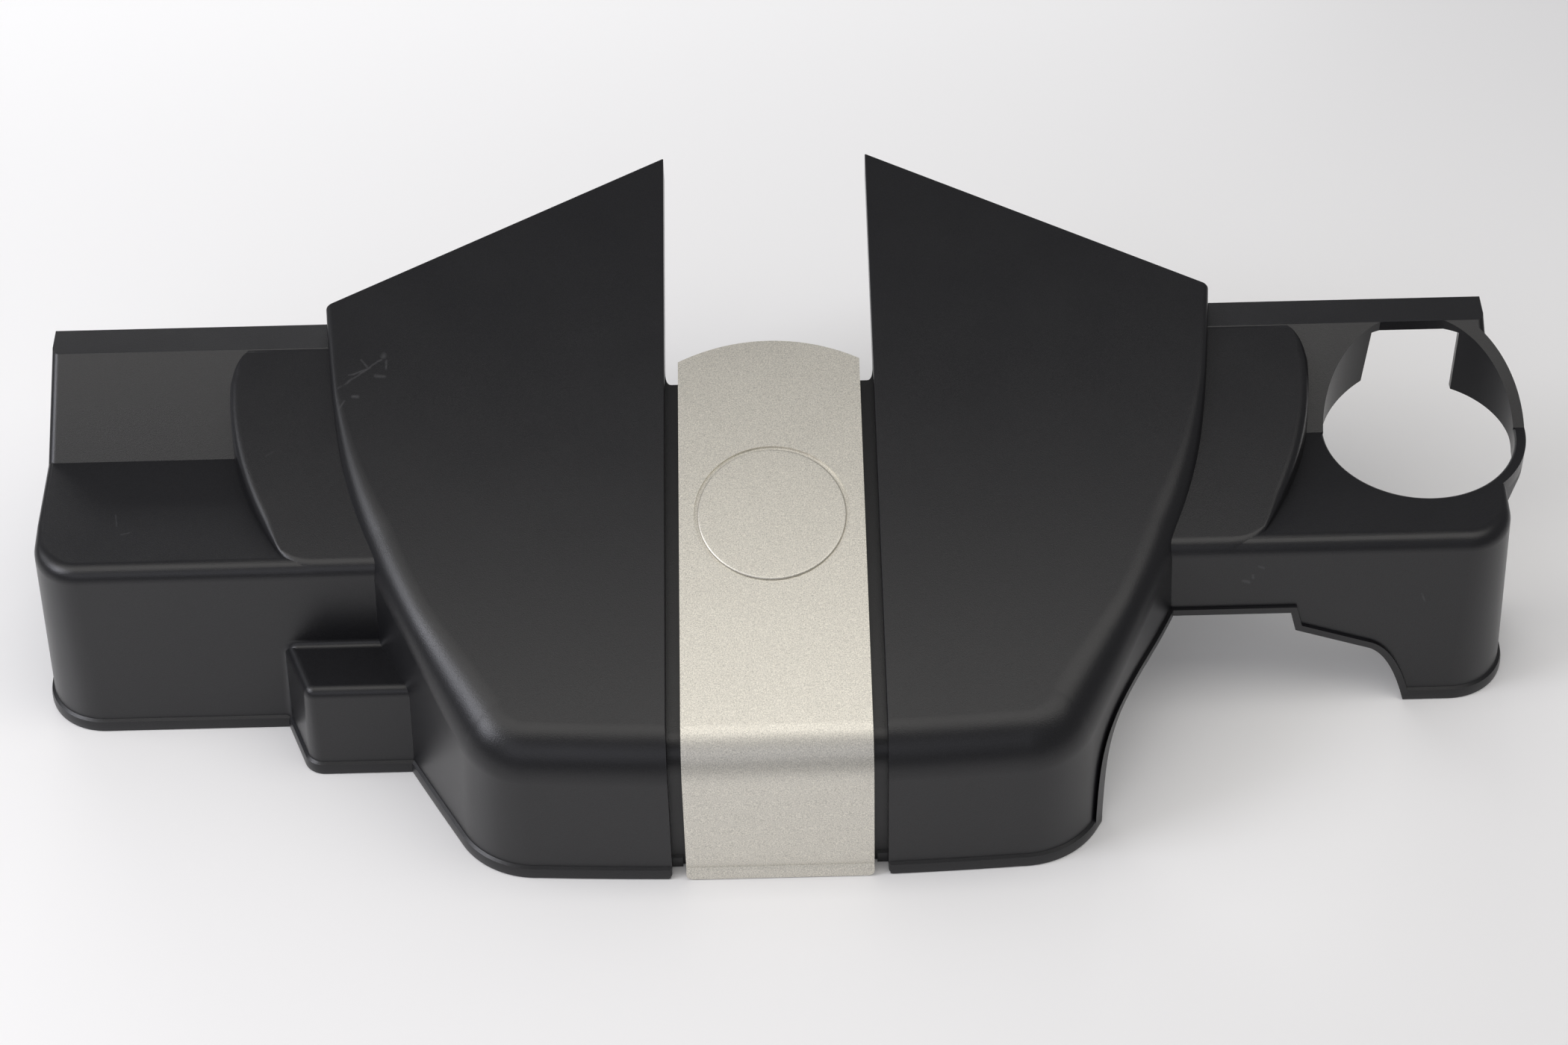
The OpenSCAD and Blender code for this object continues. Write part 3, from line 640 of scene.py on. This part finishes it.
def ribs():
    """Thin ribs across and along the underside of the tops."""
    made = None
    for s in (-1, 1):
        for x in rib_x:
            rib = brick((s * x - rib_t / 2, s * x + rib_t / 2), (0, peak_y), (0, 2 * top_h))
            made = rib if made is None else join(made, rib)
        for y in rib_y:
            ends = (gap_x, shoulder_x) if s > 0 else (-shoulder_x, -gap_x)
            made = join(made, brick(ends, (y - rib_t / 2, y + rib_t / 2), (0, 2 * top_h)))
    return keep(made, above(top_face, wall_t + rib_h))


def grain_group():
    """Fine moulded grain: the height is noise of one cell size in metres plus a third of noise
    at half that size, and the patches are slow noise, eighty times as wide."""
    made = bpy.data.node_groups.new("moulded_grain", "ShaderNodeTree")
    made.interface.new_socket("Cell", in_out="INPUT", socket_type="NodeSocketFloat")
    for name in ("Height", "Patches"):
        made.interface.new_socket(name, in_out="OUTPUT", socket_type="NodeSocketFloat")
    nodes, links = made.nodes, made.links
    given, out = nodes.new("NodeGroupInput"), nodes.new("NodeGroupOutput")
    where = nodes.new("ShaderNodeTexCoord")
    heights = []
    for share, detail in ((1.0, 1), (0.5, 1), (80.0, 3)):
        size = nodes.new("ShaderNodeMath")
        size.operation = "DIVIDE"
        size.inputs[0].default_value = 1 / share
        noise = nodes.new("ShaderNodeTexNoise")
        noise.inputs["Detail"].default_value = detail
        links.new(given.outputs["Cell"], size.inputs[1])
        links.new(size.outputs[0], noise.inputs["Scale"])
        links.new(where.outputs["Object"], noise.inputs["Vector"])
        heights.append(noise.outputs["Fac"])
    mix = nodes.new("ShaderNodeMath")
    mix.operation, mix.inputs[1].default_value = "MULTIPLY_ADD", 0.33
    links.new(heights[1], mix.inputs[0])
    links.new(heights[0], mix.inputs[2])
    links.new(mix.outputs[0], out.inputs["Height"])
    links.new(heights[2], out.inputs["Patches"])
    return made


def scratch_group():
    """Thin scratch from Start to End: with p the place and t the clamped share (p - Start) .
    (End - Start) / |End - Start| squared, the mask falls from one to none as the distance
    between p and Start + t (End - Start) grows to Width. Noise bends and breaks the line."""
    sway = 0.003
    made = bpy.data.node_groups.new("scratch", "ShaderNodeTree")
    for name, kind in (("Start", "Vector"), ("End", "Vector"), ("Width", "Float")):
        made.interface.new_socket(name, in_out="INPUT", socket_type="NodeSocket" + kind)
    made.interface.new_socket("Mask", in_out="OUTPUT", socket_type="NodeSocketFloat")
    nodes, links = made.nodes, made.links
    given, out = nodes.new("NodeGroupInput"), nodes.new("NodeGroupOutput")
    where, bend, broken = [nodes.new("ShaderNode" + kind) for kind in ("TexCoord", "TexNoise", "TexNoise")]
    bend.inputs["Scale"].default_value, broken.inputs["Scale"].default_value = 120, 500
    links.new(where.outputs["Object"], bend.inputs["Vector"])
    links.new(where.outputs["Object"], broken.inputs["Vector"])

    def step(kind, operation, *values, take=0):
        """One step of maths on sockets or values. Returns the output at take."""
        made_node = nodes.new("ShaderNode" + kind)
        made_node.operation = operation
        for at, value in enumerate(values):
            if isinstance(value, bpy.types.NodeSocket):
                links.new(value, made_node.inputs[at])
            else:
                made_node.inputs[at].default_value = value
        return made_node.outputs[take]

    start = given.outputs["Start"]
    shift = step("VectorMath", "MULTIPLY_ADD", bend.outputs["Color"], (sway,) * 3, (-sway / 2,) * 3)
    place = step("VectorMath", "ADD", where.outputs["Object"], shift)
    arm = step("VectorMath", "SUBTRACT", place, start)
    line = step("VectorMath", "SUBTRACT", given.outputs["End"], start)
    share = step("Math", "DIVIDE", step("VectorMath", "DOT_PRODUCT", arm, line, take=1),
                 step("VectorMath", "DOT_PRODUCT", line, line, take=1))
    share = step("Math", "MINIMUM", step("Math", "MAXIMUM", share, 0.0), 1.0)
    scaled = nodes.new("ShaderNodeVectorMath")
    scaled.operation = "SCALE"
    links.new(line, scaled.inputs[0])
    links.new(share, scaled.inputs["Scale"])
    away = step("VectorMath", "DISTANCE", arm, scaled.outputs[0], take=1)
    share_out = step("Math", "DIVIDE", away, given.outputs["Width"])
    close = step("Math", "MAXIMUM", step("Math", "SUBTRACT", 1.0, share_out), 0.0)
    breaks = step("Math", "POWER", broken.outputs["Fac"], 0.7)
    links.new(step("Math", "MULTIPLY", close, breaks), out.inputs["Mask"])
    return made


grain, scratch = grain_group(), scratch_group()


def ranged(nodes, links, value, low, high, to_low, to_high):
    """Output that runs from to_low to to_high while the value runs from low to high."""
    made = nodes.new("ShaderNodeMapRange")
    for key, end in (("From Min", low), ("From Max", high), ("To Min", to_low), ("To Max", to_high)):
        made.inputs[key].default_value = end
    links.new(value, made.inputs["Value"])
    return made.outputs[0]


def grained(name, base, rough, cell, depth, metal=0.0, spread=0.06, speck=0.0, wear=None):
    """Material with the grain in its bump and patches in its roughness, up to spread either way.
    speck is the share by which the colour follows the grain. wear is the colour of the scratches
    and a list of their two ends and half widths, in millimetres."""
    made, nodes, links, shader = new_material(name, base, rough, metal)
    source = nodes.new("ShaderNodeGroup")
    source.node_tree = grain
    source.inputs["Cell"].default_value = cell
    bump = nodes.new("ShaderNodeBump")
    bump.inputs["Strength"].default_value, bump.inputs["Distance"].default_value = 1, depth
    links.new(source.outputs["Height"], bump.inputs["Height"])
    links.new(bump.outputs[0], shader.inputs["Normal"])
    roughness = ranged(nodes, links, source.outputs["Patches"], 0.3, 0.7, rough - spread, rough + spread)
    links.new(roughness, shader.inputs["Roughness"])
    colour = nodes.new("ShaderNodeMix")
    colour.data_type = "RGBA"
    colour.inputs["A"].default_value = (*[c * (1 - speck) for c in base], 1)
    colour.inputs["B"].default_value = (*[c * (1 + speck) for c in base], 1)
    links.new(ranged(nodes, links, source.outputs["Height"], 0.35, 0.95, 0, 1), colour.inputs["Factor"])
    last = colour.outputs["Result"]
    if wear:
        over = nodes.new("ShaderNodeMix")
        over.data_type = "RGBA"
        over.inputs["B"].default_value = (*wear[0], 1)
        links.new(last, over.inputs["A"])
        last, mask = over.outputs["Result"], None
        for start, end, width in wear[1]:
            mark, most = nodes.new("ShaderNodeGroup"), nodes.new("ShaderNodeMath")
            mark.node_tree, most.operation = scratch, "MAXIMUM"
            mark.inputs["Start"].default_value = np.array(start) * MM
            mark.inputs["End"].default_value = np.array(end) * MM
            mark.inputs["Width"].default_value = width * MM
            most.inputs[1].default_value = 0
            links.new(mark.outputs[0], most.inputs[0])
            if mask:
                links.new(mask, most.inputs[1])
            mask = most.outputs[0]
        links.new(mask, over.inputs["Factor"])
    links.new(last, shader.inputs["Base Color"])
    return made


# Scuffs on the left wing, the right arm, the left arm's floor and the left hump
scuffs = [
    ((-182.4, 213.6, 135.3), (-182.9, 211.6, 134.8), 1.7),
    ((-184.0, 210.0, 134.3), (-203.5, 195.6, 130.1), 0.8),
    ((-193.2, 211.0, 134.6), (-190.2, 206.6, 133.4), 0.8),
    ((-186.0, 202.2, 132.1), (-182.0, 201.4, 131.9), 1.3),
    ((-181.4, 209.5, 134.1), (-180.9, 205.6, 133.0), 0.9),
    ((-204.8, 182.6, 126.5), (-200.6, 188.9, 128.3), 0.9),
    ((-196.2, 191.1, 128.9), (-194.4, 190.6, 128.7), 1.3),
    ((-198.5, 202.5, 132.1), (-188.5, 206.0, 133.1), 0.7),
    ((225.0, 105.9, 85.9), (227.0, 105.9, 85.0), 1.1),
    ((222.0, 105.5, 80.4), (222.3, 105.5, 78.6), 1.0),
    ((218.0, 105.3, 76.9), (220.5, 105.3, 76.2), 1.1),
    ((302.3, 104.7, 66.2), (303.9, 104.5, 61.5), 0.8),
    ((-307.1, 145.0, 99.3), (-305.8, 138.0, 99.3), 0.5),
    ((-303.0, 131.6, 99.3), (-297.5, 133.4, 99.3), 0.5),
    ((-236.5, 165.5, 114.9), (-232.5, 169.0, 115.9), 0.6)]
plastic = grained("black_plastic", (0.0084, 0.0084, 0.0098), 0.31, 0.00045, 0.00005,
                  spread=0.02, speck=0.4, wear=((0.055, 0.055, 0.058), scuffs))
slope_plastic = grained("coarse_black_plastic", (0.0185, 0.0185, 0.0205), 0.50, 0.0016, 0.0003,
                        spread=0.06, speck=1.0)
# Painted shade: the sunk channel beside the panel gets this matt, brownish copy of the black plastic, which
# darkens it where shade falls in the deep, narrow channel.
channel_shade_plastic = grained("matt_plastic_painted_shade", (0.0115, 0.0108, 0.0098), 0.62, 0.0006, 0.00005,
                          spread=0.02, speck=0.3)

hollow = cut(cover_hollow(), collar())
stiffeners = join(ribs(), *[boss(*at) for at in boss_places])
shell = cut(join(cover_outer(), rim_bead(), collar(), collar_fillet(), box_fillet(box_fillet_r)), hollow)
shell = join(shell, keep(stiffeners, keep(wing_block(wall_t / 2, 0), wing_trim(wall_t / 2))))
pin_bore = [[pin_r + pin_gap, -channel_d - 2 * wall_t], [pin_r + pin_gap, -channel_d + wall_t]]
shell = cut(shell, *[boss_hollow(*at) for at in boss_places], *filler_hole(), front_cut(), end_cut(),
            *[lathe(pin_bore, 32, place=on_top(*at)) for at in pin_places])
inner_foot = foot_rounder(gap_x, -wing_foot_r, channel_d - rim_out - 0.2)
shell = cut(shell, mirrored(inner_foot), inner_foot)


def dressed(name, body, *materials, turn=19, round_by=0):
    """Names a finished solid, gives it its materials and smooths its faces, apart from the
    edges that turn by more than the given angle. round_by bevels those, in millimetres."""
    body.name = body.data.name = name
    body.data.materials.clear()
    for each in materials:
        body.data.materials.append(each)
    body.data.shade_smooth()
    if round_by:
        bevel = body.modifiers.new("rounded", "BEVEL")
        bevel.width, bevel.segments, bevel.miter_outer = round_by * MM, 3, "MITER_ARC"
        bevel.limit_method, bevel.angle_limit = "ANGLE", math.radians(turn)
    else:
        body.data.set_sharp_from_angle(angle=math.radians(turn))
    soften = body.modifiers.new("soften", "WEIGHTED_NORMAL")
    soften.keep_sharp, soften.weight = True, 60
    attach(body, "root")
    return body


shell = dressed("shell_moulding", shell, plastic, slope_plastic, channel_shade_plastic)
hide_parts("cover_shell")

# Centre panel
# Thin moulding with a silver metallic paint, which bends down over the front between the wings.
# Its rim is turned down along both sides and the arched rear edge, and six pins below it pass
# through the channel.
panel_side, panel_t, panel_y, panel_arch, panel_gap, panel_foot_r = 6.5, 2.5, 205, 10.5, 0.5, 3
badge_r, badge_t, badge_gap, badge_y, badge_edge_r = 34.6, 1.2, 1.5, 124.6, 1
panel_w = 2 * (gap_x - panel_side)


def panel_plan(inset):
    """Prism over the plan of the panel: straight sides and a rear edge on one wide arc, whose
    radius is (half width squared + arch squared) / (2 arch)."""
    half = panel_w / 2 - inset
    sweep = ((panel_w / 2)**2 + panel_arch**2) / (2 * panel_arch)
    spread = math.degrees(math.asin(half / (sweep - inset)))
    rear = arc([0, panel_y + panel_arch - sweep], sweep - inset, 90 - spread, 90 + spread, 64)
    return prism(np.concatenate([[[half, -beyond]], rear, [[-half, -beyond]]]), 2, -beyond, 2 * top_h)


panel = join(keep(across(front_section(0, 0), panel_w / 2), panel_plan(0)),
             across(bead_section(0), panel_w / 2))
recess = [[badge_r + badge_gap, -badge_t], [badge_r + badge_gap, 2]]
panel = cut(panel, keep(across(front_section(panel_t, -1), panel_w), panel_plan(panel_t)),
            across(front_section(channel_d - panel_gap, -1), panel_w),
            lathe(recess, 192, place=on_top(0, badge_y)))
outer_foot = foot_rounder(panel_w / 2, panel_foot_r, 2 * panel_t)
panel = cut(panel, mirrored(outer_foot), outer_foot)
pin_collar = [[2 * pin_r, 0.1 - channel_d], [2 * pin_r, 0.2 - panel_t]]
pin = [[pin_r, -channel_d - wall_t - 5], [pin_r, -channel_d + 1]]
for at in pin_places:
    panel = join(panel, lathe(pin_collar, 40, place=on_top(*at)), lathe(pin, 32, place=on_top(*at)))
nicks = [((-36.0, 92.6, 100.7), (-34.4, 90.2, 100.0), 0.5), ((-34.0, 90.0, 100.0), (-32.3, 91.5, 100.4), 0.5)]
silver = grained("silver_paint", (0.68, 0.655, 0.59), 0.43, 0.0005, 0.00003, metal=0.85,
                 spread=0.02, speck=0.3, wear=((0.42, 0.38, 0.28), nicks))
panel = dressed("panel_sheet", panel, silver, turn=40, round_by=0.5)
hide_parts("centre_panel")

# Badge disc
# Plain round disc in the panel's recess, silver like the panel, with a rounded edge. It is
# glued in, and a narrow groove stays open round it.
disc_edge = arc([badge_r - badge_edge_r, badge_t - badge_edge_r], badge_edge_r, 0, 90, 8)
disc_section = np.concatenate([[[badge_r, 0]], disc_edge, [[badge_r - 3, badge_t], [0.05, badge_t]]])
disc = lathe(disc_section, 192, place=on_top(0, badge_y) @ Matrix.Translation((0, 0, -badge_t * MM)))
disc = dressed("badge_plate", disc, silver, turn=50)
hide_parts("badge_disc")

# Push nuts
# Stamped spring-steel washers, pressed on the panel's pins below the channel. Their inner edge
# is cut into teeth that bite the pin.


def turned_loop(profile, n, place, teeth=0, bite=0):
    """Solid ring: the closed profile (radius, height) at n angles, joined round in both
    directions. With teeth, the inner radius grows by bite in every other sector."""
    a = np.linspace(0, 2 * np.pi, n, endpoint=False)[:, None]
    r, h = np.array(profile, float).T
    out = r + bite * (np.sin(teeth * a) > 0) * (r < r.mean())
    rings = np.stack([out * np.cos(a), out * np.sin(a), h + 0 * a], -1)
    at = np.arange(rings.shape[0] * rings.shape[1]).reshape(rings.shape[:2])
    on, up = np.roll(at, -1, 0), np.roll(at, -1, 1)
    quads = np.stack([at, on, np.roll(on, -1, 1), up], -1).reshape(-1, 4)
    mesh = bpy.data.meshes.new("ring")
    mesh.from_pydata(rings.reshape(-1, 3) * MM, [], quads.tolist())
    mesh.transform(place)
    return put("ring", mesh)


nut_r, bore_r, nut_t, nut_flat = 3 * pin_r, pin_r + 0.05, 1, 1.2
below_channel = Matrix.Translation((0, 0, (-channel_d - wall_t - nut_t - 0.1) * MM))
nut_profile = [[bore_r, 0.1], [nut_r - nut_flat, 0], [nut_r, 0], [nut_r, nut_t - 0.25],
               [nut_r - 0.3, nut_t], [nut_r - nut_flat, nut_t], [bore_r, nut_t - 0.05]]
nuts = [turned_loop(nut_profile, 96, on_top(*at) @ below_channel, 6, 0.7) for at in pin_places]
steel = grained("spring_steel", (0.45, 0.46, 0.47), 0.36, 0.0006, 0.00001, metal=1.0, speck=0.12)
nuts = dressed("push_nuts", join(*nuts), steel)
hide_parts("panel_push_nuts")

# Grommets
# Soft black rubber rings, snapped into the seats at the lower ends of the four bosses. The
# cover is pushed down with them on to ball studs.
stud_r, flange_r, flange_t = 5, boss_r * 0.8, 3
head_z, top_z = seat_t + 0.1, seat_t + flange_t
grommet_profile = [[stud_r, 0.6 - flange_t], [stud_r + 0.6, -flange_t], [flange_r - 0.8, -flange_t],
                   [flange_r, 0.8 - flange_t], [flange_r, -0.5], [flange_r - 0.4, -0.1], [neck_r, -0.1],
                   [neck_r, head_z], [neck_r + 1.7, head_z], [neck_r + 2, head_z + 0.3],
                   [neck_r + 0.7, top_z - 0.3], [neck_r + 0.2, top_z], [stud_r + 0.5, top_z],
                   [stud_r, top_z - 0.5]]
rubber = grained("soft_rubber", (0.018, 0.018, 0.0185), 0.68, 0.0007, 0.00003, speck=0.2)
for corner, (x, y) in zip(("front_left", "front_right", "rear_left", "rear_right"), boss_places):
    grommet = turned_loop(grommet_profile, 72, Matrix.Translation((x * MM, y * MM, boss_z * MM)))
    grommet = dressed("rubber_" + corner, grommet, rubber, turn=50)
    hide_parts("grommet_" + corner)
